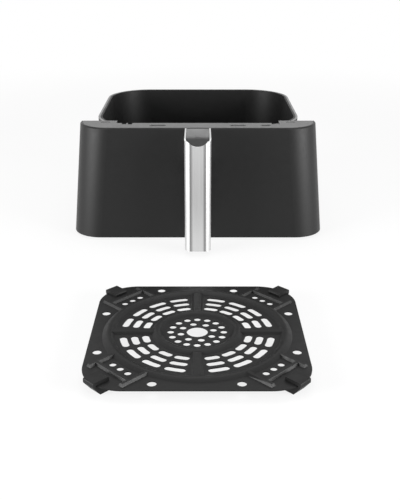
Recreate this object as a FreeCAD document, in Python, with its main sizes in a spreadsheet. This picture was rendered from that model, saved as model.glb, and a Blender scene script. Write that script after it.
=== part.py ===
"""Air fryer basket with its loose crisper plate, in millimetres.

+Z is up, the handle points to -Y and the origin is the middle of the pan's base.
"""
import FreeCAD, Part
import math
import os
import re
import Sketcher

SIZES = [
    ("pan_width", 258.0, "across the rim flange"),
    ("pan_depth", 234.0, "front to back over the rim flange"),
    ("pan_height", 140.0, "base to the top of the rim"),
    ("rim_corner", 58.0, "plan radius of the rim's corners"),
    ("rim_flange", 4.0, "how far the rim stands out from the wall"),
    ("rim_lip", 4.0, "height of the turned-down edge"),
    ("pan_sheet", 1.2, "sheet of the pan"),
    ("pan_lean", 8.0, "how far each wall leans in down to the base"),
    ("base_bend", 12.0, "bend between base and wall"),
    ("dais_inset", 30.0, "from the wall's foot to the raised middle of the base"),
    ("dais_rise", 2.0, "rise of the base's middle"),
    ("shell_top_width", 293.0, "front shell at its top"),
    ("shell_foot_width", 320.0, "front shell at its foot"),
    ("shell_reach", 21.0, "from the rim to the shell's face at the top"),
    ("shell_lead", 4.0, "how much further forward the foot stands"),
    ("shell_depth", 40.0, "face to the rear edge of the sides"),
    ("shell_foot", 2.0, "foot of the shell above the table"),
    ("shell_corner", 37.0, "plan radius of the shell's corners"),
    ("shell_wall", 2.5, "wall of the shell"),
    ("shell_bevel", 1.5, "slant of the shell's top edge"),
    ("seat_gap", 0.3, "clearance of parts that fit into one another"),
    ("deck_sheet", 2.0, "thickness of the top trim"),
    ("deck_step", 101.0, "half width of the trim's rear recess"),
    ("deck_recess", 13.0, "depth of the trim's rear recess"),
    ("vent_offset", 49.0, "middle of each vent slot from the centre line"),
    ("vent_length", 21.0, "length of the vent slots"),
    ("vent_width", 7.0, "width of the slots in the deck"),
    ("catch_length", 13.0, "length of the single slot on the right"),
    ("catch_offset", 83.0, "middle of that slot"),
    ("notch_width", 5.5, "width of the notches in the trim's rear edge"),
    ("notch_inset", 7.0, "from the recess's left end to its first notch"),
    ("keyway_width", 10.0, "width of the notch at the recess's right end"),
    ("notch_depth", 7.0, "depth of those notches"),
    ("notch_tooth", 2.0, "tooth between the two notches on the left"),
    ("corner_slot_length", 12.0, "slots in the trim's corner blocks"),
    ("corner_slot_width", 4.0, "their width"),
    ("corner_slot_offset", 115.0, "their distance from the centre line"),
    ("trim_leg", 10.0, "length of the trim's four locating legs"),
    ("trim_leg_width", 8.0, "width of those legs"),
    ("trim_leg_sheet", 1.5, "thickness of those legs"),
    ("trim_leg_inner", 20.0, "inner pair of legs from the centre line"),
    ("trim_leg_outer", 70.0, "outer pair of legs from the centre line"),
    ("cover_wall", 2.0, "wall of the rear cover"),
    ("cover_foot", 5.5, "underside of the rear cover"),
    ("pan_gap", 1.5, "rear cover to rim"),
    ("bracket_width", 92.0, "crown of the bracket"),
    ("bracket_flange", 16.0, "width of each welded flange"),
    ("bracket_sheet", 1.5, "sheet of the bracket"),
    ("bracket_height", 34.0, "height of the bracket"),
    ("bracket_bend", 3.0, "outer radius of the bracket's bends"),
    ("handle_width", 31.0, "across the handle"),
    ("handle_reach", 60.0, "shell's face to the front of the handle"),
    ("handle_foot", 6.0, "lower end above the table"),
    ("handle_round", 8.0, "plan radius of the handle's front corners"),
    ("handle_sheet", 1.8, "sheet of the handle cover"),
    ("handle_cheek", 15.0, "depth of the cover's sides along the grip"),
    ("grip_depth", 23.0, "depth of the grip"),
    ("grip_round", 6.0, "rounds of the grip's back"),
    ("grip_lift", 1.0, "lower end of the grip above the cover's"),
    ("grip_end_round", 2.0, "round of the grip's lower end"),
    ("neck_drop", 42.0, "underside of the neck below the deck"),
    ("neck_bend", 13.0, "bend between neck and grip"),
    ("mouth_fall", 3.0, "front edge of the cover below the deck"),
    ("mouth_run", 10.0, "length of the slope down to that edge"),
    ("mouth_drop", 7.5, "lowest point of the dip in the cover's front"),
    ("mouth_radius", 14.2, "radius of that dip"),
    ("scoop_drop", 23.0, "seat of the thumb rest below the deck"),
    ("shelf_length", 20.0, "upper slope of the thumb rest"),
    ("shelf_drop", 4.0, "fall along that slope"),
    ("shelf_sink", 0.5, "upper end of that slope below the deck"),
    ("shelf_bend", 7.0, "bend below that slope"),
    ("scoop_run", 13.0, "length of the steep part of the thumb rest"),
    ("scoop_floor", 3.5, "thickness of the thumb rest at the front"),
    ("scoop_bend", 5.0, "bend between the steep part and that floor"),
    ("screw_shank", 4.0, "diameter of the M4 screws"),
    ("screw_head", 7.6, "diameter of their heads"),
    ("screw_head_rise", 2.6, "height of their heads"),
    ("screw_drop", 32.0, "row of screws below the deck"),
    ("handle_screw_offset", 7.0, "handle screws from the centre line"),
    ("bracket_screw_offset", 34.0, "bracket screws from the centre line"),
    ("handle_bore", 38.0, "depth of the bores for the handle screw heads"),
    ("nut_flats", 7.0, "across the flats of the nuts"),
    ("nut_rise", 3.2, "height of the nuts"),
    ("thread_gap", 0.05, "clearance of a screw in its thread"),
    ("hole_gap", 0.25, "clearance of a screw in a plain hole"),
    ("tapping_shank", 3.5, "diameter of the shell screws"),
    ("tapping_head", 6.4, "diameter of their heads"),
    ("tapping_rise", 2.1, "height of their heads"),
    ("tapping_length", 16.0, "length of the shell screws"),
    ("boss_width", 8.0, "diameter of the shell's bosses"),
    ("boss_height", 22.0, "height of the bosses"),
    ("boss_inset", 6.5, "middle of the bosses behind the shell's face"),
    ("boss_inner", 42.0, "inner pair of bosses from the centre line"),
    ("boss_outer", 100.0, "outer pair of bosses from the centre line"),
    ("plate_side", 201.0, "side of the crisper plate"),
    ("plate_corner", 38.0, "plan radius of its corners"),
    ("plate_sheet", 1.2, "sheet of the plate"),
    ("plate_lift", 9.0, "underside of the plate above its feet"),
    ("plate_spacing", 405.0, "pan's middle to the plate's middle"),
    ("plate_disc", 94.0, "radius of the plate's turned part"),
    ("ring_radius", 84.0, "crest of the outer bead"),
    ("hub_radius", 37.6, "crest of the inner bead"),
    ("bead_foot", 5.8, "half width of the beads at their foot"),
    ("bead_crest", 2.4, "half width of the beads at their shoulders"),
    ("bead_shoulder", 2.5, "rise of the shoulders"),
    ("bead_rise", 3.2, "rise of the beads"),
    ("spoke_foot", 5.5, "half width of the spokes at their foot"),
    ("spoke_crest", 3.4, "half width of the spokes at their crest"),
    ("spoke_rise", 2.0, "rise of the spokes"),
    ("row_inner", 49.4, "radius of the inner row of slots"),
    ("row_step", 10.4, "from one row of slots to the next"),
    ("slot_width", 5.4, "width of the slots"),
    ("slot_sweep", 10.0, "angle between the ends' middles of a slot"),
    ("slot_growth", 0.7, "how much that angle grows from row to row"),
    ("slot_pitch", 19.4, "angle from slot to slot"),
    ("centre_hole", 19.0, "diameter of the hole in the middle"),
    ("hub_hole", 5.7, "diameter of the holes around it"),
    ("hub_hole_outer", 25.2, "radius of their outer ring"),
    ("hub_hole_inner", 15.9, "radius of their inner ring"),
    ("hub_hole_turn", 14.0, "turn of the inner ring"),
    ("edge_hole", 7.2, "diameter of the holes near the edges"),
    ("edge_hole_inset", 10.0, "their distance from the edge"),
    ("edge_hole_offset", 38.0, "their distance from the middle of the edge"),
    ("corner_hole", 5.4, "diameter of the three holes in each corner"),
    ("corner_hole_radius", 94.4, "their distance from the plate's middle"),
    ("corner_hole_step", 10.1, "from one of them to the next"),
    ("rib_offset", 21.9, "corner ribs from the diagonal"),
    ("rib_start", 80.5, "inner end of the corner ribs"),
    ("rib_end", 110.0, "outer end of the corner ribs"),
    ("rib_foot", 3.0, "half width of the ribs at their foot"),
    ("rib_crest", 1.4, "half width of the ribs at their crest"),
    ("rib_rise", 2.4, "rise of the ribs"),
    ("cross_radius", 103.5, "the bead across the ribs along the diagonal"),
    ("bumper_width", 14.0, "width of the bumpers"),
    ("bumper_length", 17.0, "length of the bumpers"),
    ("bumper_reach", 3.0, "how far they stand out from the plate's corner"),
    ("bumper_top", 3.2, "height of the bumpers above the plate"),
    ("bumper_foot_inset", 7.0, "how far the foot is set back"),
    ("bumper_round", 1.5, "rounds of the bumpers"),
    ("bumper_peg", 5.0, "diameter of the peg through the plate"),
    ("peg_gap", 0.1, "clearance of the peg in its hole"),
]
NAMES = {alias for alias, size, meaning in SIZES}
ROUND_SIDES = 12  # sides of the small rounds that repeat
END_SIDES = 3  # sides of a slot's round end
BEND_STEPS = 3  # bands of the bend round the pan's base
SLOT_SLANT = 0.3  # share of a deck slot's width that its corners are cut by

doc = FreeCAD.newDocument("AirFryerBasket")
sheet = doc.addObject("Spreadsheet::Sheet", "Sizes")
for row, (alias, size, meaning) in enumerate(SIZES, start=1):
    sheet.set(f"A{row}", str(size))
    sheet.setAlias(f"A{row}", alias)
    sheet.set(f"B{row}", meaning)
doc.recompute()

# Places that several parts share, as expressions of the sizes.
RIM_X = "pan_width / 2"
RIM_Y = "pan_depth / 2"
TOP = "pan_height + deck_sheet"
NECK_FOOT = f"{TOP} - neck_drop"
SCOOP_SEAT = f"{TOP} - scoop_drop"
SCREW_LEVEL = f"{TOP} - screw_drop"
UNDER_RIM = "(pan_height - pan_sheet)"
FACE = "pan_depth / 2 + shell_reach"
REAR = "-(pan_depth / 2 + shell_reach - shell_depth)"
WEB_BACK = "-(pan_depth / 2 + pan_gap)"
WEB_FRONT = "-(pan_depth / 2 + pan_gap + cover_wall)"
HANDLE_FRONT = "-(pan_depth / 2 + shell_reach + handle_reach)"
INSIDE_FRONT = HANDLE_FRONT + " + handle_sheet + seat_gap"
INSIDE_WIDTH = "handle_width - 2 * handle_sheet - 2 * seat_gap"
INSIDE_ROUND = "handle_round - handle_sheet - seat_gap"
PLATE_DIAGONAL = "(plate_side / 2 - plate_corner) * sqrt(2) + plate_corner"
BUMPER_OUT = PLATE_DIAGONAL + " + bumper_reach"
PEG_RADIUS = PLATE_DIAGONAL + " + bumper_reach - bumper_length * 0.6"
SCREW_OFFSETS = ["-handle_screw_offset", "handle_screw_offset"]
BRACKET_OFFSETS = ["-bracket_screw_offset", "bracket_screw_offset"]
BOSS_OFFSETS = ["-boss_outer", "-boss_inner", "boss_inner", "boss_outer"]


def bound(expression):
    """The expression with each size's name pointing at its cell."""
    def point(found):
        return "Sizes." + found.group() if found.group() in NAMES else found.group()
    return re.sub(r"[a-z_]+", point, expression)


def number(expression):
    return float(sheet.evalExpression(bound(expression)))


def shell_face(level):
    """The shell's leaning face at a height, as an expression for Y."""
    return f"-({FACE}) - shell_lead * ({TOP} - ({level})) / ({TOP} - shell_foot)"


def pan_wall(level):
    """The outside of the pan's leaning front wall at a height, as an expression for Y."""
    return f"-({RIM_Y} - rim_flange) + pan_lean * ({UNDER_RIM} - ({level})) / ({UNDER_RIM} - base_bend)"


def new_body(label):
    body = doc.addObject("PartDesign::Body", label)
    body.Label = label
    return body


def datum(body, role):
    return next(item for item in body.Origin.OriginFeatures if item.Role == role)


def new_sketch(body, name, role="XY_Plane", offset="0", turn=0.0):
    """A sketch on one of the body's own planes, moved along and turned about its normal."""
    sketch = body.newObject("Sketcher::SketchObject", name)
    sketch.AttachmentSupport = [(datum(body, role), "")]
    sketch.MapMode = "FlatFace"
    turned = FreeCAD.Rotation(FreeCAD.Vector(0, 0, 1), turn)
    sketch.AttachmentOffset = FreeCAD.Placement(FreeCAD.Vector(0, 0, number(offset)), turned)
    sketch.setExpression("AttachmentOffset.Base.z", bound(offset))
    return sketch


def set_datums(sketch, first, expressions):
    """Ties the sizes of the constraints that start at index first to the sheet."""
    for index, expression in enumerate(expressions, start=first):
        if expression is not None:
            sketch.setExpression(f"Constraints[{index}]", bound(expression))


def add_constraints(sketch, constraints):
    """Adds pairs of a constraint and its size's expression, or None."""
    first = sketch.ConstraintCount
    sketch.addConstraint([constraint for constraint, expression in constraints])
    set_datums(sketch, first, [expression for constraint, expression in constraints])


def fixed_point(geometry, place, x, y):
    """Constraints that hold a point of the geometry at x, y."""
    return [(Sketcher.Constraint("DistanceX", -1, 1, geometry, place, number(x)), x),
            (Sketcher.Constraint("DistanceY", -1, 1, geometry, place, number(y)), y)]


def outline(sketch, corners):
    """A closed outline through corners (x, y) or (x, y, radius); a radius bends the corner."""
    spots = [FreeCAD.Vector(number(corner[0]), number(corner[1]), 0) for corner in corners]
    count = len(corners)
    entries, exits, bends = [], [], []
    for index, corner in enumerate(corners):
        here = spots[index]
        if len(corner) == 2:
            entries.append(here)
            exits.append(here)
            bends.append(None)
            continue
        radius = number(corner[2])
        back = (spots[index - 1] - here).normalize()
        ahead = (spots[(index + 1) % count] - here).normalize()
        half = back.getAngle(ahead) / 2
        entries.append(here + back * (radius / math.tan(half)))
        exits.append(here + ahead * (radius / math.tan(half)))
        middle = (back + ahead).normalize()
        bends.append(here + middle * (radius / math.sin(half) - radius))
    lines = [sketch.addGeometry(Part.LineSegment(exits[i], entries[(i + 1) % count]))
             for i in range(count)]
    constraints = []
    for index, corner in enumerate(corners):
        point = sketch.addGeometry(Part.Point(spots[index]), True)
        before, after = lines[index - 1], lines[index]
        constraints += fixed_point(point, 1, corner[0], corner[1])
        if bends[index] is None:
            constraints.append((Sketcher.Constraint("Coincident", before, 2, point, 1), None))
            constraints.append((Sketcher.Constraint("Coincident", after, 1, point, 1), None))
            continue
        arc = sketch.addGeometry(Part.Arc(entries[index], bends[index], exits[index]))
        forward = sketch.getPoint(arc, 1).distanceToPoint(entries[index]) < 1e-6
        start, end = (1, 2) if forward else (2, 1)
        constraints += [
            (Sketcher.Constraint("PointOnObject", point, 1, before), None),
            (Sketcher.Constraint("PointOnObject", point, 1, after), None),
            (Sketcher.Constraint("Tangent", before, 2, arc, start), None),
            (Sketcher.Constraint("Tangent", arc, end, after, 1), None),
            (Sketcher.Constraint("Radius", arc, number(corner[2])), corner[2])]
    add_constraints(sketch, constraints)


def rectangle(sketch, left, right, low, high, radius=None):
    bend = () if radius is None else (radius,)
    outline(sketch, [(left, low) + bend, (right, low) + bend,
                     (right, high) + bend, (left, high) + bend])


def rounded_box(sketch, half_width, half_depth, radius):
    rectangle(sketch, f"-({half_width})", half_width, f"-({half_depth})", half_depth, radius)


def circle(sketch, x, y, diameter):
    centre = FreeCAD.Vector(number(x), number(y), 0)
    ring = sketch.addGeometry(Part.Circle(centre, FreeCAD.Vector(0, 0, 1), number(diameter) / 2))
    size = (Sketcher.Constraint("Diameter", ring, number(diameter)), diameter)
    add_constraints(sketch, fixed_point(ring, 3, x, y) + [size])


def few_sided(sketch, x, y, diameter):
    """A small round as a regular outline with few sides."""
    turns = [360 / ROUND_SIDES * index for index in range(ROUND_SIDES)]
    outline(sketch, [(f"{x} + ({diameter}) / 2 * cos({turn})", f"{y} + ({diameter}) / 2 * sin({turn})")
                     for turn in turns])


def arc_slot(sketch, radius, angle, sweep, width):
    """A slot that follows a circle about the origin, with round ends of few sides."""
    def polar(reach, turn):
        return f"({reach}) * cos({turn})", f"({reach}) * sin({turn})"

    def round_end(direction, first):
        x, y = polar(radius, direction)
        steps = [polar(f"{width} / 2", f"{direction} + {first + 180 / END_SIDES * step}")
                 for step in range(END_SIDES + 1)]
        return [(f"{x} + {step_x}", f"{y} + {step_y}") for step_x, step_y in steps]

    outline(sketch, round_end(f"({angle}) + ({sweep}) / 2", 0) + round_end(f"({angle}) - ({sweep}) / 2", 180))


def recompute(feature):
    doc.recompute()
    if not feature.isValid():
        raise RuntimeError(f"{feature.Name} failed: {feature.State}")
    return feature


def pad(body, name, sketch, length, both_ways=False, reverse=False, cut=False):
    """A pad, or a pocket where cut is set; a pocket that takes nothing away is an error."""
    before = body.Shape.Volume if cut else 0
    feature = body.newObject("PartDesign::Pocket" if cut else "PartDesign::Pad", name)
    feature.Profile = sketch
    feature.SideType = "Symmetric" if both_ways else "One side"
    feature.Reversed = reverse
    feature.setExpression("Length", bound(length))
    recompute(feature)
    if cut and before - body.Shape.Volume < 1e-3:
        raise RuntimeError(f"{name} cuts nothing")
    return feature


def pocket(body, name, sketch, length, both_ways=False, reverse=False):
    return pad(body, name, sketch, length, both_ways, reverse, cut=True)


def loft(body, name, lowest, *others, cut=False):
    feature = body.newObject("PartDesign::SubtractiveLoft" if cut else "PartDesign::AdditiveLoft", name)
    feature.Profile = lowest
    feature.Sections = list(others)
    feature.Ruled = True
    return recompute(feature)


def fillet(body, name, radius, chosen):
    """Rounds the edges of the body's last feature for which chosen(edge) is true."""
    base = body.Tip
    edges = [f"Edge{index}" for index, edge in enumerate(base.Shape.Edges, start=1) if chosen(edge)]
    feature = body.newObject("PartDesign::Fillet", name)
    feature.Base = (base, edges)
    feature.setExpression("Radius", bound(radius))
    return recompute(feature)


def bevel(body, name, size, chosen):
    """Cuts the edges of the body's last feature for which chosen(edge) is true at a slant."""
    base = body.Tip
    edges = [f"Edge{index}" for index, edge in enumerate(base.Shape.Edges, start=1) if chosen(edge)]
    feature = body.newObject("PartDesign::Chamfer", name)
    feature.Base = (base, edges)
    feature.setExpression("Size", bound(size))
    return recompute(feature)


def around(body, name, features, count=4):
    """Repeats features about the body's Z axis."""
    feature = body.newObject("PartDesign::PolarPattern", name)
    feature.Originals = features
    feature.Axis = (datum(body, "Z_Axis"), [""])
    feature.Angle = 360
    feature.Occurrences = count
    body.Tip = feature
    return recompute(feature)


def box(name, left, right, low_y, high_y, low_z, high_z):
    """A Part box between expressions for its sides."""
    feature = doc.addObject("Part::Box", name)
    feature.setExpression("Length", bound(f"({right}) - ({left})"))
    feature.setExpression("Width", bound(f"({high_y}) - ({low_y})"))
    feature.setExpression("Height", bound(f"({high_z}) - ({low_z})"))
    for letter, start in zip("xyz", (left, low_y, low_z)):
        feature.setExpression(f"Placement.Base.{letter}", bound(start))
    return recompute(feature)


def rod(name, diameter, length, place, axis=(0, 0, 1)):
    """A small round bar of few sides that starts at a place given as expressions and runs along axis."""
    feature = doc.addObject("Part::Prism", name)
    feature.Polygon = ROUND_SIDES
    feature.setExpression("Circumradius", bound(f"({diameter}) / 2"))
    feature.setExpression("Height", bound(length))
    turned = FreeCAD.Rotation(FreeCAD.Vector(0, 0, 1), FreeCAD.Vector(*axis))
    feature.Placement = FreeCAD.Placement(FreeCAD.Vector(), turned)
    for letter, start in zip("xyz", place):
        feature.setExpression(f"Placement.Base.{letter}", bound(start))
    return recompute(feature)


def cut(name, base, tool):
    feature = doc.addObject("Part::Cut", name)
    feature.Base = base
    feature.Tool = tool
    return recompute(feature)


def common(name, base, tool):
    feature = doc.addObject("Part::Common", name)
    feature.Base = base
    feature.Tool = tool
    return recompute(feature)


def joined(name, shapes):
    feature = doc.addObject("Part::MultiFuse", name)
    feature.Shapes = shapes
    return recompute(feature)


def group(name, shapes):
    """Separate solids that stay separate in one part."""
    feature = doc.addObject("Part::Compound", name)
    feature.Links = shapes
    feature.Label = name
    return recompute(feature)


def at_level(level):
    """Chooses edges that lie at one height."""
    height = number(level)
    return lambda edge: all(abs(vertex.Z - height) < 1e-3 for vertex in edge.Vertexes)


def upright_at(y):
    """Chooses upright edges at one Y."""
    place = number(y)

    def chosen(edge):
        ends = edge.Vertexes
        if len(ends) != 2:
            return False
        across = math.hypot(ends[0].X - ends[1].X, ends[0].Y - ends[1].Y)
        return across < 1e-3 and abs(ends[0].Y - place) < 1e-3
    return chosen


def build_pan():
    foot = (f"{RIM_X} - rim_flange - pan_lean", f"{RIM_Y} - rim_flange - pan_lean",
            "rim_corner - rim_flange - pan_lean")
    wall = (f"{RIM_X} - rim_flange", f"{RIM_Y} - rim_flange", "rim_corner - rim_flange")
    rim = (RIM_X, RIM_Y, "rim_corner")

    def plan(body, name, level, *outlines):
        """A sketch of rounded boxes, each given as its sizes and how far it is drawn in."""
        sketch = new_sketch(body, name, offset=level)
        for sizes, inset in outlines:
            rounded_box(sketch, *(f"{value} - ({inset})" for value in sizes))
        return sketch

    def block(name, inset, level, bend):
        """A full block of the pan's form, drawn in from its outside."""
        body = new_body(name)
        bands = []
        for step in range(BEND_STEPS + 1):
            turn = 90 / BEND_STEPS * step
            drawn_in = f"{inset} + ({bend}) * (1 - sin({turn}))"
            height = f"{level} + ({bend}) * (1 - cos({turn}))"
            bands.append(plan(body, f"{name}_band_{step}", height, (foot, drawn_in)))
        loft(body, name + "_walls", *bands, plan(body, name + "_top", UNDER_RIM, (wall, inset)))
        return body

    bowl = cut("pan_bowl", block("pan_outside", "0", "0", "base_bend"),
               block("pan_inside", "pan_sheet", "pan_sheet", "base_bend - pan_sheet"))
    edge = new_body("pan_rim")
    pad(edge, "flange", plan(edge, "flange_plan", UNDER_RIM, (rim, "0"), (wall, "pan_sheet")), "pan_sheet")
    pad(edge, "lip", plan(edge, "lip_plan", "pan_height - rim_lip", (rim, "0"), (rim, "pan_sheet")),
        "rim_lip - pan_sheet")
    dais_plan = (f"{foot[0]} - dais_inset", f"{foot[1]} - dais_inset", "rim_corner / 2")
    dais = new_body("pan_dais")
    pad(dais, "dais", plan(dais, "dais_top", "pan_sheet / 2", (dais_plan, "0")), "pan_sheet / 2 + dais_rise")
    under = new_body("pan_under")
    pad(under, "dais_under", plan(under, "dais_hollow", "-1", (dais_plan, "pan_sheet")), "dais_rise + 1")
    pan = cut("basket_pan", joined("pan_sheets", [bowl, edge, dais]), under)
    pan.Label = "basket_pan"
    return pan


def front_outline(sketch, level, inset, rear):
    """The plan of the front at its top or foot, drawn in from the shell's outside."""
    width = "shell_top_width" if level == "top" else "shell_foot_width"
    lead = "0" if level == "top" else "shell_lead"
    half = f"{width} / 2 - ({inset})"
    face = f"-({FACE}) - {lead} + ({inset})"
    bend = f"shell_corner - ({inset})"
    outline(sketch, [(f"-({half})", rear), (f"-({half})", face, bend),
                     (half, face, bend), (half, rear)])


def front_loft(body, name, inset, rear, taken_away=False):
    foot = new_sketch(body, name + "_foot", offset="shell_foot")
    front_outline(foot, "foot", inset, rear)
    top = new_sketch(body, name + "_top", offset=TOP)
    front_outline(top, "top", inset, rear)
    return loft(body, name, foot, top, cut=taken_away)


def build_shell():
    body = new_body("front_shell")
    front_loft(body, "shell_outside", "0", REAR)
    front_loft(body, "shell_inside", "shell_wall", f"{REAR} + shell_depth", taken_away=True)
    half = number("shell_top_width") / 2

    def outer_top(edge):
        middle = edge.valueAt((edge.FirstParameter + edge.LastParameter) / 2)
        sides = abs(abs(middle.x) - half) < 0.01 or abs(middle.y + number(FACE)) < 0.01
        bend = number("shell_corner")
        over_x = abs(middle.x) - (half - bend)
        over_y = -middle.y - (number(FACE) - bend)
        turned = over_x > 0 and over_y > 0 and abs(math.hypot(over_x, over_y) - bend) < 0.05
        return at_level(TOP)(edge) and (sides or turned)

    bevel(body, "shell_edge", "shell_bevel", outer_top)
    window = new_sketch(body, "neck_window", "XZ_Plane")
    reach = f"({INSIDE_WIDTH}) / 2 + seat_gap"
    rectangle(window, f"-({reach})", reach, f"{NECK_FOOT} - seat_gap", f"{SCOOP_SEAT} + seat_gap")
    pocket(body, "neck_opening", window, f"{FACE} + handle_reach", reverse=True)
    bosses = new_sketch(body, "boss_rings", offset="cover_foot + cover_wall")
    for offset in BOSS_OFFSETS:
        few_sided(bosses, offset, f"-({FACE}) - shell_lead + boss_inset", "boss_width")
    pad(body, "bosses", bosses, "boss_height")
    pilots = new_sketch(body, "boss_pilots", offset="cover_foot + cover_wall")
    for offset in BOSS_OFFSETS:
        few_sided(pilots, offset, f"-({FACE}) - shell_lead + boss_inset", "tapping_shank + 2 * thread_gap")
    pocket(body, "boss_holes", pilots, "tapping_length", reverse=True)
    return body


def straight_block(name, half_width, half_depth, radius, low, high):
    """An upright rounded block about the pan's middle."""
    body = new_body(name)
    plan = new_sketch(body, name + "_plan", offset=low)
    rounded_box(plan, half_width, half_depth, radius)
    pad(body, name + "_pad", plan, f"({high}) - ({low})")
    return body


def build_lining():
    """The space inside the shell, which the trim and the rear cover fill."""
    body = new_body("lining")
    front_loft(body, "lining_loft", "shell_wall + seat_gap", REAR)
    return body


def build_rear_cover(lining):
    wide = "shell_foot_width"
    level = box("cover_range", f"-{wide}", wide, f"-2 * {wide}", "0", "cover_foot", "pan_height")
    block = common("cover_block", lining, level)
    pan_space = straight_block("pan_space", f"{RIM_X} + pan_gap", f"{RIM_Y} + pan_gap",
                               "rim_corner + pan_gap", "0", TOP)
    block = cut("cover_around_pan", block, pan_space)
    web = straight_block("web_space", f"{RIM_X} + pan_gap + cover_wall", f"{RIM_Y} + pan_gap + cover_wall",
                         "rim_corner + pan_gap + cover_wall", "0", TOP)
    hollow = box("cover_hollow", f"-{wide}", wide, f"-2 * {wide}", f"{REAR} - cover_wall",
                 "cover_foot + cover_wall", TOP)
    block = cut("cover_open", block, cut("cover_inside", hollow, web))
    holes = [rod("web_hole", "screw_shank + 2 * hole_gap", "20", (x, f"{WEB_BACK} + 5", SCREW_LEVEL),
                 (0, -1, 0)) for x in SCREW_OFFSETS + BRACKET_OFFSETS]
    holes += [rod("floor_hole", "tapping_shank + 2 * hole_gap", "10",
                  (x, f"-({FACE}) - shell_lead + boss_inset", "0")) for x in BOSS_OFFSETS]
    cover = cut("rear_cover", block, joined("cover_holes", holes))
    cover.Label = "rear_cover"
    return cover


def build_trim(lining):
    wide = "shell_foot_width"
    level = box("deck_range", f"-{wide}", wide, f"-2 * {wide}", "0", "pan_height", TOP)
    deck = common("deck", lining, level)
    body = new_body("deck_openings")
    plan = new_sketch(body, "deck_cuts", offset="pan_height - 1")
    edge = f"{REAR} - deck_recess"
    middle = f"({edge} - ({FACE})) / 2 + 1"
    rear = f"{REAR} + 10"
    inner = f"({edge}) - notch_depth"
    first = "-deck_step + notch_inset"
    first_end = f"{first} + notch_width"
    second = f"{first} + notch_width + notch_tooth"
    second_end = f"{second} + notch_width"
    keyway = "deck_step - keyway_width"
    outline(plan, [
        ("-deck_step", rear), ("-deck_step", edge),
        (first, edge), (first, inner), (first_end, inner), (first_end, edge),
        (second, edge), (second, inner), (second_end, inner), (second_end, edge),
        (keyway, edge), (keyway, inner), ("deck_step", inner), ("deck_step", rear)])
    pad(body, "deck_edge", plan, "deck_sheet + 2")
    slots = [(f"{side}vent_offset", middle, "vent_length", "vent_width") for side in ("-", "")]
    slots.append(("catch_offset", middle, "catch_length", "vent_width"))
    for side in ("-", ""):
        slots.append((f"{side}corner_slot_offset", f"{REAR} - corner_slot_width * 2",
                      "corner_slot_length", "corner_slot_width"))
    for index, (x, y, length, width) in enumerate(slots):
        slot = new_sketch(body, f"deck_slot_{index}", offset="pan_height - 1")
        slant = f"{width} * {SLOT_SLANT}"
        left, right = f"{x} - {length} / 2", f"{x} + {length} / 2"
        front, back = f"({y}) - {width} / 2", f"({y}) + {width} / 2"
        outline(slot, [(f"{left} + {slant}", front), (f"{right} - {slant}", front),
                       (right, f"{front} + {slant}"), (right, f"{back} - {slant}"),
                       (f"{right} - {slant}", back), (f"{left} + {slant}", back),
                       (left, f"{back} - {slant}"), (left, f"{front} + {slant}")])
        pad(body, f"deck_slot_cut_{index}", slot, "deck_sheet + 2")
    deck = cut("deck_cut", deck, body)
    legs = [box("trim_leg_box", f"{x} - trim_leg_width / 2", f"{x} + trim_leg_width / 2",
                f"{WEB_FRONT} - trim_leg_sheet", WEB_FRONT, "pan_height - trim_leg", "pan_height")
            for x in ("-trim_leg_outer", "-trim_leg_inner", "trim_leg_inner", "trim_leg_outer")]
    trim = joined("top_trim", [deck] + legs)
    trim.Label = "top_trim"
    return trim


def build_bracket():
    body = new_body("pan_bracket")
    low, high = f"{SCREW_LEVEL} - bracket_height / 2", f"{SCREW_LEVEL} + bracket_height / 2"
    half = "bracket_width / 2"
    inner = f"{half} - bracket_sheet"
    back = pan_wall("0")
    crown = f"{WEB_BACK} + bracket_sheet"
    inner_bend = "bracket_bend - bracket_sheet"
    plan = new_sketch(body, "hat_plan", offset=low)
    outline(plan, [(f"-({half})", back), (f"-({half})", WEB_BACK, "bracket_bend"),
                   (half, WEB_BACK, "bracket_bend"), (half, back),
                   (inner, back), (inner, crown, inner_bend),
                   (f"-({inner})", crown, inner_bend), (f"-({inner})", back)])
    pad(body, "hat", plan, "bracket_height")
    behind = new_sketch(body, "wall_side", "YZ_Plane")
    outline(behind, [(pan_wall("0"), "0"), ("0", "0"), ("0", "pan_height"),
                     (pan_wall("pan_height"), "pan_height")])
    pocket(body, "hat_trim", behind, "pan_width", both_ways=True)
    flange = new_sketch(body, "flange_side", "YZ_Plane")
    outline(flange, [(pan_wall(low), low), (pan_wall(high), high),
                     (f"{pan_wall(high)} - bracket_sheet", high),
                     (f"{pan_wall(low)} - bracket_sheet", low)])
    pad(body, "flanges", flange, "bracket_width + 2 * bracket_flange", both_ways=True)
    between = new_sketch(body, "flange_gap", offset=low)
    rectangle(between, f"-({inner})", inner, crown, "0")
    pocket(body, "flange_split", between, "bracket_height", reverse=True)
    holes = new_sketch(body, "hat_holes", "XZ_Plane")
    for offset in SCREW_OFFSETS + BRACKET_OFFSETS:
        few_sided(holes, offset, SCREW_LEVEL, "screw_shank + 2 * hole_gap")
    pocket(body, "hat_bores", holes, "pan_depth", reverse=True)
    return body


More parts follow.
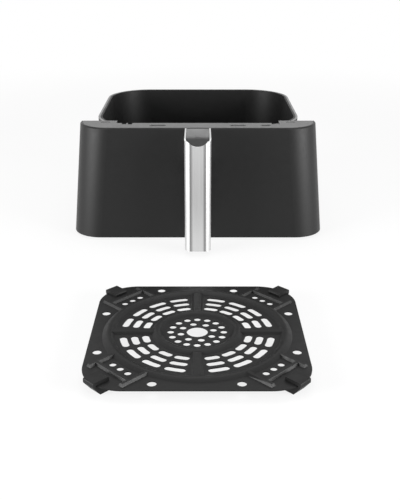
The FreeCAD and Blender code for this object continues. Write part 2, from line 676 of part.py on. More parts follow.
def build_nuts():
    nuts = []
    for offset in SCREW_OFFSETS + BRACKET_OFFSETS:
        hexagon = doc.addObject("Part::Prism", "nut_block")
        hexagon.Polygon = 6
        hexagon.setExpression("Circumradius", bound("nut_flats / sqrt(3)"))
        hexagon.setExpression("Height", bound("nut_rise"))
        turned = FreeCAD.Rotation(FreeCAD.Vector(1, 0, 0), -90)
        hexagon.Placement = FreeCAD.Placement(FreeCAD.Vector(), turned)
        for letter, start in zip("xyz", (offset, f"{WEB_BACK} + bracket_sheet", SCREW_LEVEL)):
            hexagon.setExpression(f"Placement.Base.{letter}", bound(start))
        recompute(hexagon)
        thread = rod("nut_thread", "screw_shank + 2 * thread_gap", "nut_rise + 2",
                     (offset, f"{WEB_BACK} + bracket_sheet - 1", SCREW_LEVEL), (0, 1, 0))
        nuts.append(cut("nut", hexagon, thread))
    return group("weld_nuts", nuts)


def screw(name, shank, head, rise, length, seat, axis):
    """A pan-head screw whose head rests on the seat; axis points from head to tip."""
    stem = rod(name + "_shank", shank, length, seat, axis)
    cap = rod(name + "_head", head, rise, seat, tuple(-step for step in axis))
    return joined(name, [cap, stem])


def build_screws():
    end = f"{WEB_BACK} + bracket_sheet + nut_rise"
    bore = f"{HANDLE_FRONT} + handle_bore"
    size = ("screw_shank", "screw_head", "screw_head_rise")
    handle = [screw("handle_screw", *size, f"({end}) - ({bore})", (x, bore, SCREW_LEVEL), (0, 1, 0))
              for x in SCREW_OFFSETS]
    bracket = [screw("bracket_screw", *size, f"({end}) - ({WEB_FRONT})", (x, WEB_FRONT, SCREW_LEVEL),
                     (0, 1, 0)) for x in BRACKET_OFFSETS]
    shell = [screw("shell_screw", "tapping_shank", "tapping_head", "tapping_rise", "tapping_length",
                   (x, f"-({FACE}) - shell_lead + boss_inset", "cover_foot"), (0, 0, 1))
             for x in BOSS_OFFSETS]
    return [group("handle_screws", handle), group("bracket_screws", bracket), group("shell_screws", shell)]


def build_handle_cover():
    body = new_body("handle_cover")
    side = new_sketch(body, "cover_side", "YZ_Plane")
    cheek = f"{HANDLE_FRONT} + handle_cheek"
    outline(side, [
        (f"{shell_face(TOP)} - seat_gap", TOP), (f"{HANDLE_FRONT} + mouth_run", TOP),
        (HANDLE_FRONT, f"{TOP} - mouth_fall"), (HANDLE_FRONT, "handle_foot"),
        (cheek, "handle_foot"), (cheek, NECK_FOOT, "neck_bend"),
        (f"{shell_face(NECK_FOOT)} - seat_gap", NECK_FOOT)])
    pad(body, "cover_block_pad", side, "handle_width", both_ways=True)
    fillet(body, "cover_corners", "handle_round", upright_at(HANDLE_FRONT))
    inside = new_sketch(body, "cover_plan")
    half = "handle_width / 2 - handle_sheet"
    front = f"{HANDLE_FRONT} + handle_sheet"
    bend = "handle_round - handle_sheet"
    outline(inside, [(f"-({half})", "0"), (f"-({half})", front, bend), (half, front, bend), (half, "0")])
    pocket(body, "cover_hollow_cut", inside, f"{TOP} + 1", reverse=True)
    dip = new_sketch(body, "mouth_ring", "XZ_Plane", offset=f"-({HANDLE_FRONT}) - handle_round")
    circle(dip, "0", f"{TOP} - mouth_drop + mouth_radius", "2 * mouth_radius")
    pocket(body, "mouth_dip", dip, "handle_round + 1", reverse=True)
    return body


def build_handle_core():
    body = new_body("handle_core")
    side = new_sketch(body, "core_side", "YZ_Plane")
    back = f"{HANDLE_FRONT} + grip_depth"
    low = "handle_foot + grip_lift"
    outline(side, [
        (WEB_FRONT, SCOOP_SEAT), (INSIDE_FRONT, SCOOP_SEAT), (INSIDE_FRONT, low),
        (back, low, "grip_end_round"), (back, NECK_FOOT, "neck_bend"), (WEB_FRONT, NECK_FOOT)])
    pad(body, "core_block", side, INSIDE_WIDTH, both_ways=True)
    fillet(body, "core_front", INSIDE_ROUND, upright_at(INSIDE_FRONT))
    fillet(body, "core_back", "grip_round", upright_at(back))
    bores = new_sketch(body, "core_holes", "XZ_Plane")
    for offset in SCREW_OFFSETS:
        few_sided(bores, offset, SCREW_LEVEL, "screw_shank + 2 * hole_gap")
    pocket(body, "core_bores", bores, f"-({HANDLE_FRONT})", reverse=True)
    heads = new_sketch(body, "core_heads", "XZ_Plane", offset=f"-({HANDLE_FRONT}) - handle_bore")
    for offset in SCREW_OFFSETS:
        few_sided(heads, offset, SCREW_LEVEL, "screw_head + 4 * hole_gap")
    pocket(body, "core_counterbores", heads, "handle_bore", reverse=True)
    return body


def build_thumb_rest():
    body = new_body("thumb_rest")
    side = new_sketch(body, "scoop_side", "YZ_Plane")
    start = f"{shell_face(TOP)} - seat_gap"
    end = f"{shell_face(SCOOP_SEAT)} - seat_gap"
    level = f"{TOP} - shelf_sink"
    ledge = f"({start}) - shelf_length"
    drop = f"({start}) - shelf_length - scoop_run"
    outline(side, [
        (start, level), (ledge, f"({level}) - shelf_drop", "shelf_bend"),
        (drop, f"{SCOOP_SEAT} + scoop_floor", "scoop_bend"),
        (INSIDE_FRONT, f"{SCOOP_SEAT} + scoop_floor"), (INSIDE_FRONT, SCOOP_SEAT), (end, SCOOP_SEAT)])
    pad(body, "scoop_block", side, INSIDE_WIDTH, both_ways=True)
    fillet(body, "scoop_front", INSIDE_ROUND, upright_at(INSIDE_FRONT))
    return body


def bead(radius, base):
    """Corners of a bead's section on a base level, from its outer foot to its inner foot."""
    shoulder = f"{base} + bead_shoulder"
    return [(f"{radius} + bead_foot", base), (f"{radius} + bead_crest", shoulder),
            (radius, f"{base} + bead_rise"),
            (f"{radius} - bead_crest", shoulder), (f"{radius} - bead_foot", base)]


def build_plate():
    body = new_body("plate_sheet_body")
    half = "plate_side / 2"
    plan = new_sketch(body, "plate_plan")
    rounded_box(plan, half, half, "plate_corner")
    circle(plan, "0", "0", "2 * plate_disc")
    pad(body, "plate_border", plan, "plate_sheet")
    section = new_sketch(body, "disc_section", "XZ_Plane")
    upper = bead("ring_radius", "plate_sheet") + bead("hub_radius", "plate_sheet")
    lower = list(reversed(bead("ring_radius", "0") + bead("hub_radius", "0")))
    outline(section, [("plate_disc", "0"), ("plate_disc", "plate_sheet")] + upper
            + [("0", "plate_sheet"), ("0", "0")] + lower)
    disc = body.newObject("PartDesign::Revolution", "plate_turned")
    disc.Profile = section
    disc.ReferenceAxis = (section, ["V_Axis"])
    disc.Angle = 360
    recompute(disc)

    spoke = new_sketch(body, "spoke_section", "YZ_Plane", offset="hub_radius")
    outline(spoke, [("-spoke_foot", "plate_sheet / 2"), ("spoke_foot", "plate_sheet / 2"),
                    ("spoke_foot", "plate_sheet"), ("spoke_crest", "plate_sheet + spoke_rise"),
                    ("-spoke_crest", "plate_sheet + spoke_rise"), ("-spoke_foot", "plate_sheet")])
    spoke_pad = pad(body, "spoke", spoke, "ring_radius - hub_radius")
    around(body, "spokes", [spoke_pad])

    def rib_plan(name, level, widen):
        """The two corner ribs and the bead across them, as one outline along the diagonal."""
        sketch = new_sketch(body, name, offset=level, turn=45.0)
        far, near = f"rib_offset + {widen}", f"rib_offset - {widen}"
        first, last = "rib_start", f"rib_end + {widen}"
        low, high = f"cross_radius - {widen}", f"cross_radius + {widen}"
        outline(sketch, [
            (first, f"-({far})"), (last, f"-({far})"), (last, f"-({near})"), (high, f"-({near})"),
            (high, near), (last, near), (last, far), (first, far), (first, near), (low, near),
            (low, f"-({near})"), (first, f"-({near})")])
        return sketch

    ribs = loft(body, "corner_ribs", rib_plan("ribs_foot", "plate_sheet * 0.5", "rib_foot"),
                rib_plan("ribs_crest", "plate_sheet + rib_rise", "rib_crest"))
    around(body, "corners", [ribs])

    plate = cut("crisper_plate", body, build_plate_openings())
    plate.Label = "crisper_plate"
    plate.setExpression("Placement.Base.y", bound("-plate_spacing"))
    plate.setExpression("Placement.Base.z", bound("plate_lift"))
    return plate


def build_plate_openings():
    """The slots and holes of the plate, as bars to be taken away."""
    body = new_body("plate_openings")
    low, height = "-1", "plate_sheet + bead_rise + 2"
    for index in range(3):
        radius = f"row_inner + {index} * row_step"
        sweep = f"slot_sweep + {index} * slot_growth"
        row = []
        for count, place in enumerate((-1.5, -0.5, 0.5, 1.5)):
            slot = new_sketch(body, f"slot_{index}_{count}", offset=low)
            arc_slot(slot, radius, f"45 + ({place}) * slot_pitch", sweep, "slot_width")
            row.append(pad(body, f"slot_bar_{index}_{count}", slot, height))
        around(body, f"slots_{index}", row)
    centre = new_sketch(body, "centre_plan", offset=low)
    circle(centre, "0", "0", "centre_hole")
    pad(body, "centre_bar", centre, height)
    for count, radius, turn in ((16, "hub_hole_outer", "0"), (8, "hub_hole_inner", "hub_hole_turn")):
        hole = new_sketch(body, radius + "_plan", offset=low)
        few_sided(hole, f"{radius} * cos({turn})", f"{radius} * sin({turn})", "hub_hole")
        around(body, radius + "_ring", [pad(body, radius + "_bar", hole, height)], count)
    corner = new_sketch(body, "corner_holes", offset=low, turn=45.0)
    for step in (-1, 0, 1):
        few_sided(corner, "corner_hole_radius", f"{step} * corner_hole_step", "corner_hole")
    few_sided(corner, PEG_RADIUS, "0", "bumper_peg + 2 * peg_gap")
    around(body, "corner_bars", [pad(body, "corner_bar", corner, height)])
    edge = new_sketch(body, "edge_holes", offset=low)
    for side in ("-", ""):
        few_sided(edge, "plate_side / 2 - edge_hole_inset", f"{side}edge_hole_offset", "edge_hole")
    around(body, "edge_bars", [pad(body, "edge_bar", edge, height)])
    return body


def build_bumper(label, turn):
    """A clip that grips the plate's corner; drawn along X and turned to its corner."""
    body = new_body(label)
    inner = f"{BUMPER_OUT} - bumper_length"
    edge = f"{PLATE_DIAGONAL} + seat_gap"
    side = new_sketch(body, label + "_side", "XZ_Plane")
    outline(side, [
        (inner, "-plate_lift"), (f"{BUMPER_OUT} - bumper_foot_inset", "-plate_lift"),
        (BUMPER_OUT, "0"), (BUMPER_OUT, "plate_sheet + bumper_top", "bumper_round"),
        (inner, "plate_sheet + bumper_top", "bumper_round"), (inner, "plate_sheet"),
        (edge, "plate_sheet"), (edge, "0"), (inner, "0")])
    pad(body, label + "_clip", side, "bumper_width", both_ways=True)
    peg = new_sketch(body, label + "_peg_ring", offset="-plate_sheet")
    few_sided(peg, PEG_RADIUS, "0", "bumper_peg")
    pad(body, label + "_peg", peg, "3 * plate_sheet")
    body.Placement = FreeCAD.Placement(FreeCAD.Vector(), FreeCAD.Rotation(FreeCAD.Vector(0, 0, 1), turn))
    body.setExpression("Placement.Base.y", bound("-plate_spacing"))
    body.setExpression("Placement.Base.z", bound("plate_lift"))
    return body


lining = build_lining()
parts = [build_pan(), build_shell(), build_rear_cover(lining), build_trim(lining), build_bracket(),
         build_nuts(), build_handle_cover(), build_handle_core(), build_thumb_rest()]
parts += build_screws()
parts.append(build_plate())
for label, turn in (("bumper_rear_right", 45), ("bumper_rear_left", 135),
                    ("bumper_front_left", 225), ("bumper_front_right", 315)):
    parts.append(build_bumper(label, turn))

doc.recompute()
os.makedirs("parts", exist_ok=True)
for part in parts:
    if "Invalid" in part.State or "Error" in part.State:
        raise RuntimeError(f"{part.Label}: {part.State}")
    if part.Shape.isNull() or not part.Shape.isValid():
        raise RuntimeError(f"{part.Label} has no valid shape")
    part.Shape.exportStep(f"parts/{part.Label}.step")
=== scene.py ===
"""Looks for the air fryer basket and its crisper plate: materials, light and camera. Sizes are in metres."""
import math

import bmesh
import bpy
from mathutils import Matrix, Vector


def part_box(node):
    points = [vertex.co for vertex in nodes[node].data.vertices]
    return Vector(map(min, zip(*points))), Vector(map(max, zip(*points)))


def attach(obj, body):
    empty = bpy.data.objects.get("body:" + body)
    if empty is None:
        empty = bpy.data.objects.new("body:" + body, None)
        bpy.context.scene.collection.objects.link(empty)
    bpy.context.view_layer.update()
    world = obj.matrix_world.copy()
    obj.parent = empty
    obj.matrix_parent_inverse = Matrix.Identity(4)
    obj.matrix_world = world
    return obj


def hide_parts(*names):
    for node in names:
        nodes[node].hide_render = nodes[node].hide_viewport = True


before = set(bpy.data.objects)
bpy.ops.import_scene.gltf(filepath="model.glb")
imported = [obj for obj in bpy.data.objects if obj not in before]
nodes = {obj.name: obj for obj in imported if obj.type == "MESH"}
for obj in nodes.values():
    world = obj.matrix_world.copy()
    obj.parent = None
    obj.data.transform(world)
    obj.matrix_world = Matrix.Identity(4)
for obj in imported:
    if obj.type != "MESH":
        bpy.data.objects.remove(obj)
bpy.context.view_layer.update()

BUMPERS = ("bumper_front_left", "bumper_front_right", "bumper_rear_left", "bumper_rear_right")
FASTENERS = ("weld_nuts", "handle_screws", "bracket_screws", "shell_screws")
SOFT_EDGED = ("front_shell", "top_trim", "thumb_rest", "handle_cover")

# The plate's openings. Reaches are from its middle, angles in degrees, cut levels from its underside.
SLOT_ROWS = 3
SLOT_PLACES = (-1.5, -0.5, 0.5, 1.5)
ROW_INNER, ROW_STEP = 0.0494, 0.0104
SLOT_WIDTH, SLOT_SWEEP, SLOT_GROWTH, SLOT_PITCH = 0.0068, 9.0, 0.7, 19.4
CENTRE_HOLE = 0.0202
HUB_HOLE = 0.0068
EDGE_HOLE, EDGE_HOLE_INSET, EDGE_HOLE_OFFSET = 0.0084, 0.010, 0.038
CORNER_HOLE, CORNER_HOLE_REACH, CORNER_HOLE_STEP = 0.0064, 0.0944, 0.0101
HOLE_SIDES = 24
CUT_LEVELS = (-0.002, 0.008)
# The hub's rings of holes: count, reach and turn.
HUB_RINGS = ((16, 0.0252, 0.0), (8, 0.0159, 14.0))

# Rounds of the sharp edges.
MOULDED_ROUND, PRESSED_ROUND, BUMPER_ROUND = 0.0005, 0.0007, 0.0010
ROUND_SEGMENTS = 2
SHARP_FROM = math.radians(14)

# Most of a noise's values lie in this range.
NOISE_RANGE = (0.3, 0.7)
# A mix node's sockets for colours come after those for its other types.
MIX_COLOURS, MIX_RESULT = (6, 7), 2

# The materials' noises as scale and detail, and their bumps as strength and depth.
MOTTLE, MOTTLE_SHARES = (35.0, 3.0), (0.93, 1.07)
GRAIN, GRAIN_BUMP = (1400.0, 2.0), (0.25, 0.00006)
MOULDED_GLOSS, MOULDED_GLOSS_SPREAD = (220.0, 2.0), 0.04
HAZE_ROUGHNESS = 0.35
FLAKES, FLAKE_STEP, FLAKE_SHARE = (2600.0, 1.0), (0.62, 0.75), 1.9
COAT, COAT_BUMP = (1800.0, 3.0), (0.3, 0.00004)
COAT_GLOSS, COAT_GLOSS_SPREAD = (160.0, 3.0), 0.06
BRUSHING, BRUSHING_SHARES, BRUSHING_BUMP = (1.0, 3.0), (0.96, 1.03), (0.04, 0.00005)
BRUSHING_GLOSS_SPREAD = 0.03
DUST, DUST_STEP, SILICONE_TONES = (900.0, 3.0), (0.6, 0.8), (0.005, 0.009)
SILICONE, SILICONE_BUMP, SILICONE_SHEEN = (700.0, 2.0), (0.2, 0.00005), 0.2
SILICONE_GLOSS, SILICONE_ROUGHNESS = (90.0, 2.0), (0.45, 0.6)

# The paler outer band on top of the pan's rim, a painted highlight.
RIM_HALF, RIM_CORNER = (0.129, 0.117), 0.058
RIM_FROM, RIM_BAND, RIM_FADE = 0.1394, 0.0028, 0.0004
# The painted highlight's tone wanders with this noise.
RIM_HIGHLIGHT_MOTTLE, RIM_HIGHLIGHT_MOTTLE_SHARES = (60.0, 4.0), (0.9, 1.1)
# The thumb rest's hollow has painted shade, darkest below the first level, and its own tone above the
# second.
HOLLOW_LEVELS, HOLLOW_PAINTED_SHADE = (0.1335, 0.1372), 0.3
# Painted shade: dark lines along the bends of the handle's cover, to either side of its middle.
CREASE_OFFSET, CREASE_PAINTED_SHADE, CREASE_FADE, CREASE_EDGE = 0.0091, 0.35, 0.004, 0.0007

# Lamps: places, the points they look at, sizes, and power in watts.
SIDE_LAMP_PLACE, SIDE_LAMP_TARGET = (1.4, -0.95, 0.34), (0.0, -0.2, 0.08)
SIDE_LAMP_SIZE, SIDE_LAMP_POWER = (1.0, 0.64), 36
TOP_LAMP_PLACE, TOP_LAMP_TARGET = (0.0, 0.2, 1.8), (0.0, -0.2, 0.05)
TOP_LAMP_SIZE, TOP_LAMP_POWER = (1.6, 1.2), 14
WORLD_LIGHT = 0.25

# The floor shows some shadow before its fade begins and is plain white where the fade ends.
FLOOR_REACH = 6.0
FLOOR_LEVEL = -0.0004
FLOOR_MOTTLE, FLOOR_SHARES = (3.0, 2.0), (0.93, 0.95)
FLOOR_ROUGHNESS, FLOOR_SHEEN = 0.9, 0.1
SHADOW_WHITE, SHADOW_FADE = 0.82, (0.5, 1.3)

# The camera, with its focal length in pixels of the picture and its sensor in millimetres.
PICTURE = (400, 500)
FOCAL_PX = 768.6
SENSOR_WIDTH = 36.0
CAMERA_PLACE = (0.0026, -1.049, 0.3623)
CAMERA_PITCH = math.radians(22.6)


class Graph:
    """Short helpers around one material's nodes."""

    def __init__(self, name):
        self.material = bpy.data.materials.new(name)
        self.material.use_nodes = True
        self.tree = self.material.node_tree
        self.shader = self.tree.nodes["Principled BSDF"]
        self.place = self.tree.nodes.new("ShaderNodeTexCoord").outputs["Object"]

    def link(self, source, target):
        self.tree.links.new(source, target)

    def set(self, node, socket, value):
        """Links an output to an input, or sets the input's own value."""
        target = node.inputs[socket]
        if isinstance(value, bpy.types.NodeSocket):
            self.link(value, target)
        else:
            target.default_value = value

    def math(self, operation, *values):
        node = self.tree.nodes.new("ShaderNodeMath")
        node.operation = operation
        for index, value in enumerate(values):
            self.set(node, index, value)
        return node.outputs[0]

    def noise(self, scale, detail, stretch=(1, 1, 1)):
        mapping = self.tree.nodes.new("ShaderNodeMapping")
        mapping.inputs["Scale"].default_value = stretch
        self.link(self.place, mapping.inputs["Vector"])
        node = self.tree.nodes.new("ShaderNodeTexNoise")
        node.inputs["Scale"].default_value = scale
        node.inputs["Detail"].default_value = detail
        self.link(mapping.outputs[0], node.inputs["Vector"])
        return node.outputs["Fac"]

    def spread(self, noise, low=0.0, high=1.0):
        """A noise mapped to low up to high."""
        node = self.tree.nodes.new("ShaderNodeMapRange")
        node.inputs["From Min"].default_value, node.inputs["From Max"].default_value = NOISE_RANGE
        self.link(noise, node.inputs["Value"])
        node.inputs["To Min"].default_value = low
        node.inputs["To Max"].default_value = high
        return node.outputs[0]

    def step(self, value, start, end):
        """0 below start, 1 above end, smooth between."""
        node = self.tree.nodes.new("ShaderNodeMapRange")
        node.interpolation_type = "SMOOTHSTEP"
        self.link(value, node.inputs["Value"])
        node.inputs["From Min"].default_value = start
        node.inputs["From Max"].default_value = end
        return node.outputs[0]

    def axis(self, letter):
        node = self.tree.nodes.new("ShaderNodeSeparateXYZ")
        self.link(self.place, node.inputs[0])
        return node.outputs[letter]

    def outside(self, half_x, half_y, corner):
        """How far a point lies outside an upright rounded box about the origin, below 0 inside it."""
        over_x = self.math("SUBTRACT", self.math("ABSOLUTE", self.axis("X")), half_x - corner)
        over_y = self.math("SUBTRACT", self.math("ABSOLUTE", self.axis("Y")), half_y - corner)
        squares = [self.math("POWER", self.math("MAXIMUM", over, 0.0), 2.0) for over in (over_x, over_y)]
        past_corner = self.math("SQRT", self.math("ADD", *squares))
        within = self.math("MINIMUM", self.math("MAXIMUM", over_x, over_y), 0.0)
        return self.math("SUBTRACT", self.math("ADD", past_corner, within), corner)

    def blend(self, factor, first, second):
        """Mixes two colours, each a fixed one or an output."""
        node = self.tree.nodes.new("ShaderNodeMix")
        node.data_type = "RGBA"
        self.set(node, "Factor", factor)
        for socket, colour in zip(MIX_COLOURS, (first, second)):
            self.set(node, socket, colour)
        return node.outputs[MIX_RESULT]

    def mottled(self, noise, level, shares):
        """A grey that wanders with a noise between two shares of its level."""
        return self.blend(self.spread(noise), *(grey(level * share) for share in shares))

    def bump(self, height, strength, depth):
        node = self.tree.nodes.new("ShaderNodeBump")
        node.inputs["Strength"].default_value = strength
        node.inputs["Distance"].default_value = depth
        self.link(height, node.inputs["Height"])
        self.link(node.outputs[0], self.shader.inputs["Normal"])

    def finish(self, **values):
        """Sets the shader's inputs, named with _ for each space."""
        for name, value in values.items():
            self.set(self.shader, name.replace("_", " "), value)
        return self.material


def grey(level):
    return (level, level, level, 1)


def moulded(name, level, roughness, sheen=0.45, hollow=None, haze=0.0):
    """Moulded plastic with a fine grain, with painted shade low in a hollow and hazy at a glancing view
    where asked.
    """
    graph = Graph(name)
    tone = graph.mottled(graph.noise(*MOTTLE), level, MOTTLE_SHARES)
    if hollow:
        # Painted shade: the hollow is darkened below a level.
        above = graph.step(graph.axis("Z"), *hollow)
        tone = graph.blend(above, grey(level * HOLLOW_PAINTED_SHADE), tone)
    graph.bump(graph.noise(*GRAIN), *GRAIN_BUMP)
    rough = graph.spread(graph.noise(*MOULDED_GLOSS),
                         roughness - MOULDED_GLOSS_SPREAD, roughness + MOULDED_GLOSS_SPREAD)
    return graph.finish(Base_Color=tone, Roughness=rough, Specular_IOR_Level=sheen,
                        Sheen_Weight=haze, Sheen_Roughness=HAZE_ROUGHNESS)


def coated(name, level, roughness, sheen, rim_highlight_level=None):
    """Non-stick coat: fine flakes, a soft sheen and, where asked, a painted highlight on the rim."""
    graph = Graph(name)
    flakes = graph.step(graph.noise(*FLAKES), *FLAKE_STEP)
    tone = graph.blend(flakes, grey(level), grey(level * FLAKE_SHARE))
    if rim_highlight_level:
        # Painted highlight: a paler band along the outer edge on top of the rim.
        high = graph.step(graph.axis("Z"), RIM_FROM, RIM_FROM + RIM_FADE)
        edge = graph.step(graph.outside(*RIM_HALF, RIM_CORNER), -RIM_BAND, RIM_FADE - RIM_BAND)
        rim = graph.mottled(graph.noise(*RIM_HIGHLIGHT_MOTTLE), rim_highlight_level, RIM_HIGHLIGHT_MOTTLE_SHARES)
        tone = graph.blend(graph.math("MULTIPLY", high, edge), tone, rim)
    graph.bump(graph.noise(*COAT), *COAT_BUMP)
    rough = graph.spread(graph.noise(*COAT_GLOSS),
                         roughness - COAT_GLOSS_SPREAD, roughness + COAT_GLOSS_SPREAD)
    return graph.finish(Base_Color=tone, Roughness=rough, Specular_IOR_Level=sheen)


def steel(name, level, roughness, stretch, crease=None):
    """Steel with a fine noise, longest along the axis of least stretch, with painted shade along a bend
    where asked.
    """
    graph = Graph(name)
    lines = graph.noise(*BRUSHING, stretch)
    tone = graph.mottled(lines, level, BRUSHING_SHARES)
    if crease:
        # Painted shade (a dark reflection): a dark line that fades in towards each bend and ends sharply
        # past it.
        aside = graph.math("ABSOLUTE", graph.axis("X"))
        nearing = graph.step(aside, crease - CREASE_FADE, crease)
        beyond = graph.step(aside, crease, crease + CREASE_EDGE)
        tone = graph.blend(graph.math("SUBTRACT", nearing, beyond), tone, grey(level * CREASE_PAINTED_SHADE))
    graph.bump(lines, *BRUSHING_BUMP)
    rough = graph.spread(lines, roughness - BRUSHING_GLOSS_SPREAD, roughness + BRUSHING_GLOSS_SPREAD)
    return graph.finish(Base_Color=tone, Roughness=rough, Metallic=1.0)


def silicone(name):
    """Black silicone with a little dust."""
    graph = Graph(name)
    dust = graph.step(graph.noise(*DUST), *DUST_STEP)
    tone = graph.blend(dust, *(grey(level) for level in SILICONE_TONES))
    graph.bump(graph.noise(*SILICONE), *SILICONE_BUMP)
    rough = graph.spread(graph.noise(*SILICONE_GLOSS), *SILICONE_ROUGHNESS)
    return graph.finish(Base_Color=tone, Roughness=rough, Specular_IOR_Level=SILICONE_SHEEN)


def dress(material, *names):
    """Gives the nodes one material."""
    for name in names:
        mesh = nodes[name].data
        mesh.materials.clear()
        mesh.materials.append(material)


def dress_nodes():
    dress(coated("pan_coat_rim_highlight", level=0.007, roughness=0.48, sheen=0.2, rim_highlight_level=0.26), "basket_pan")
    dress(moulded("front_grain", level=0.002, roughness=0.47, sheen=0.30, haze=0.11), "front_shell")
    dress(moulded("trim_grain", level=0.13, roughness=0.5), "top_trim")
    dress(moulded("cover_grain", level=0.02, roughness=0.55), "rear_cover")
    dress(moulded("grip_grain", level=0.015, roughness=0.5), "handle_core")
    dress(moulded("scoop_grain_painted_shade", level=0.2, roughness=0.5, hollow=HOLLOW_LEVELS), "thumb_rest")
    dress(steel("cover_brushed_painted_shade", level=0.56, roughness=0.46, stretch=(1600.0, 1600.0, 12.0),
                crease=CREASE_OFFSET), "handle_cover")
    dress(steel("plated", level=0.6, roughness=0.35, stretch=(900.0, 900.0, 900.0)),
          "pan_bracket", *FASTENERS)
    dress(coated("plate_coat", level=0.010, roughness=0.42, sheen=0.16), "crisper_plate")
    dress(silicone("bumper_silicone"), *BUMPERS)


def soften(width, *pieces):
    """Rounds the sharp edges a little, as moulding and pressing leave them."""
    for piece in pieces:
        rounds = piece.modifiers.new("soft_edges", "BEVEL")
        rounds.width = width
        rounds.segments = ROUND_SEGMENTS
        rounds.limit_method = "ANGLE"
        rounds.angle_limit = SHARP_FROM
        rounds.harden_normals = True


def new_object(name, data):
    """A new object in the scene."""
    thing = bpy.data.objects.new(name, data)
    bpy.context.collection.objects.link(thing)
    return thing


def turned(reach, angle):
    """The point at a reach from the middle and an angle round it."""
    return reach * math.cos(angle), reach * math.sin(angle)


def ring(centre, diameter):
    """Plan of a round hole."""
    steps = [turned(diameter / 2, 2 * math.pi * index / HOLE_SIDES) for index in range(HOLE_SIDES)]
    return [(centre[0] + x, centre[1] + y) for x, y in steps]


def curved_slot(reach, angle, sweep):
    """Plan of a slot that follows a circle about the plate's middle, with round ends."""
    points = []
    for sign in (1, -1):
        direction = angle + sign * sweep / 2
        x, y = turned(reach, direction)
        first = direction if sign > 0 else direction + math.pi
        for step in range(HOLE_SIDES // 2 + 1):
            over, up = turned(SLOT_WIDTH / 2, first + 2 * math.pi * step / HOLE_SIDES)
            points.append((x + over, y + up))
        points.append(turned(reach - sign * SLOT_WIDTH / 2, angle))
    return points


def hole_row(direction, reach, offsets, diameter):
    """Plans of holes in a row square to a direction from the plate's middle."""
    along, across = turned(1, direction), turned(1, direction + math.pi / 2)
    for offset in offsets:
        centre = [reach * a + offset * b for a, b in zip(along, across)]
        yield ring(centre, diameter)


def opening_plans(half):
    """Plans of all slots and holes about the middle of the plate, given half its width."""
    for quarter in range(4):
        corner = math.radians(45 + 90 * quarter)
        for row in range(SLOT_ROWS):
            sweep = math.radians(SLOT_SWEEP + SLOT_GROWTH * row)
            for place in SLOT_PLACES:
                angle = corner + math.radians(SLOT_PITCH) * place
                yield curved_slot(ROW_INNER + row * ROW_STEP, angle, sweep)
        corner_offsets = (-CORNER_HOLE_STEP, 0, CORNER_HOLE_STEP)
        yield from hole_row(corner, CORNER_HOLE_REACH, corner_offsets, CORNER_HOLE)
        side = corner - math.pi / 4
        edge_offsets = (-EDGE_HOLE_OFFSET, EDGE_HOLE_OFFSET)
        yield from hole_row(side, half - EDGE_HOLE_INSET, edge_offsets, EDGE_HOLE)
    for count, reach, turn in HUB_RINGS:
        for index in range(count):
            angle = math.radians(turn) + 2 * math.pi * index / count
            yield ring(turned(reach, angle), HUB_HOLE)
    yield ring((0.0, 0.0), CENTRE_HOLE)


def add_bar(mesh, points):
    """Adds an upright bar through the plate with this plan to a bmesh."""
    low, high = ([mesh.verts.new((x, y, level)) for x, y in points] for level in CUT_LEVELS)
    mesh.faces.new(list(reversed(low)))
    mesh.faces.new(high)
    for index in range(len(points)):
        after = (index + 1) % len(points)
        mesh.faces.new((low[index], low[after], high[after], high[index]))


def build_cutter():
    """Upright bars where the plate has its openings."""
    low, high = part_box("crisper_plate")
    middle = (Vector(low) + Vector(high)) / 2
    half = (high[0] - low[0]) / 2
    mesh = bmesh.new()
    for points in opening_plans(half):
        add_bar(mesh, points)
    data = bpy.data.meshes.new("plate_cutter")
    mesh.to_mesh(data)
    mesh.free()
    cutter = new_object("plate_cutter", data)
    cutter.location = (middle.x, middle.y, low[2])
    return cutter


def build_plate():
    """The plate as it is shown: a copy of the CAD plate with its slots and holes rounded out."""
    cutter = build_cutter()
    plate = new_object("pressed_plate", nodes["crisper_plate"].data.copy())
    soften(PRESSED_ROUND, plate)
    opened = plate.modifiers.new("openings", "BOOLEAN")
    opened.operation = "DIFFERENCE"
    opened.solver = "EXACT"
    opened.object = cutter
    shown = plate.evaluated_get(bpy.context.evaluated_depsgraph_get())
    plate.data = bpy.data.meshes.new_from_object(shown)
    plate.modifiers.clear()
    bpy.data.objects.remove(cutter)
    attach(plate, "crisper")
    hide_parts("crisper_plate")


def area_lamp(name, place, target, size, power):
    """A rectangular soft lamp that looks at the target."""
    data = bpy.data.lights.new(name, "AREA")
    data.shape = "RECTANGLE"
    data.size, data.size_y = size
    data.energy = power
    lamp = new_object(name, data)
    lamp.location = place
    lamp.rotation_euler = (Vector(target) - Vector(place)).to_track_quat("-Z", "Y").to_euler()


def build_lamps():
    """Two alike at the sides and one overhead."""
    x, y, z = SIDE_LAMP_PLACE
    for name, place in (("left_softbox", (-x, y, z)), ("right_softbox", (x, y, z))):
        area_lamp(name, place, SIDE_LAMP_TARGET, SIDE_LAMP_SIZE, SIDE_LAMP_POWER)
    area_lamp("top_softbox", TOP_LAMP_PLACE, TOP_LAMP_TARGET, TOP_LAMP_SIZE, TOP_LAMP_POWER)


def seen_directly(tree):
    """1 for rays from the camera, off gloss and through glass, else 0."""
    path = tree.nodes.new("ShaderNodeLightPath")
    seen = path.outputs["Is Camera Ray"]
    for ray in ("Is Glossy Ray", "Is Transmission Ray"):
        either = tree.nodes.new("ShaderNodeMath")
        either.operation = "MAXIMUM"
        tree.links.new(seen, either.inputs[0])
        tree.links.new(path.outputs[ray], either.inputs[1])
        seen = either.outputs[0]
    return seen


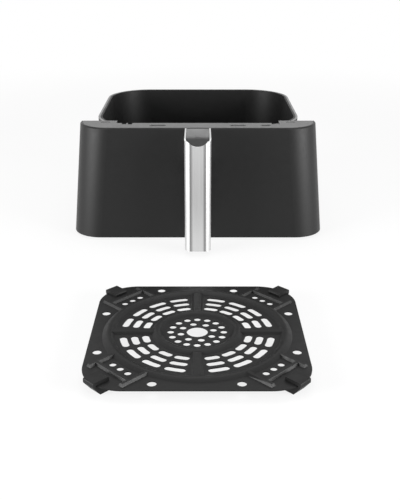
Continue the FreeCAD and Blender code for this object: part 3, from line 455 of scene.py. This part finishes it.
def floor_material():
    """White that keeps the object's soft shadow and fades to plain white further out."""
    graph = Graph("floor_white")
    tone = graph.mottled(graph.noise(*FLOOR_MOTTLE), 1.0, FLOOR_SHARES)
    graph.finish(Base_Color=tone, Roughness=FLOOR_ROUGHNESS, Specular_IOR_Level=FLOOR_SHEEN)
    distance = graph.tree.nodes.new("ShaderNodeVectorMath")
    distance.operation = "LENGTH"
    graph.link(graph.place, distance.inputs[0])
    far = graph.step(distance.outputs["Value"], *SHADOW_FADE)
    share = graph.math("MULTIPLY_ADD", far, 1.0 - SHADOW_WHITE, SHADOW_WHITE)
    white = graph.tree.nodes.new("ShaderNodeEmission")
    mix = graph.tree.nodes.new("ShaderNodeMixShader")
    graph.link(graph.math("MULTIPLY", share, seen_directly(graph.tree)), mix.inputs[0])
    graph.link(graph.shader.outputs[0], mix.inputs[1])
    graph.link(white.outputs[0], mix.inputs[2])
    graph.link(mix.outputs[0], graph.tree.nodes["Material Output"].inputs["Surface"])
    return graph.material


def build_floor():
    """A wide floor just below the object."""
    mesh = bpy.data.meshes.new("floor")
    corners = ((-1, -1), (1, -1), (1, 1), (-1, 1))
    mesh.from_pydata([(x * FLOOR_REACH, y * FLOOR_REACH, 0) for x, y in corners], [], [(0, 1, 2, 3)])
    mesh.materials.append(floor_material())
    floor = new_object("floor", mesh)
    floor.location.z = FLOOR_LEVEL


def build_world():
    """White where it is seen, softer for the light that falls on the object."""
    world = bpy.data.worlds.new("studio")
    bpy.context.scene.world = world
    world.use_nodes = True
    tree = world.node_tree
    background = tree.nodes["Background"]
    background.inputs["Color"].default_value = (1, 1, 1, 1)
    strength = tree.nodes.new("ShaderNodeMapRange")
    tree.links.new(seen_directly(tree), strength.inputs["Value"])
    strength.inputs["To Min"].default_value = WORLD_LIGHT
    strength.inputs["To Max"].default_value = 1.0
    tree.links.new(strength.outputs[0], background.inputs["Strength"])


def build_camera():
    """The camera, level from side to side and pitched down at the object."""
    data = bpy.data.cameras.new("camera")
    data.sensor_width = SENSOR_WIDTH
    data.lens = FOCAL_PX / max(PICTURE) * SENSOR_WIDTH
    camera = new_object("camera", data)
    camera.location = CAMERA_PLACE
    camera.rotation_euler = (math.pi / 2 - CAMERA_PITCH, 0, 0)
    bpy.context.scene.camera = camera


dress_nodes()
soften(MOULDED_ROUND, *(nodes[name] for name in SOFT_EDGED))
soften(BUMPER_ROUND, *(nodes[name] for name in BUMPERS))
build_plate()
build_lamps()
build_floor()
build_world()
build_camera()
bpy.context.scene.view_settings.view_transform = "Standard"
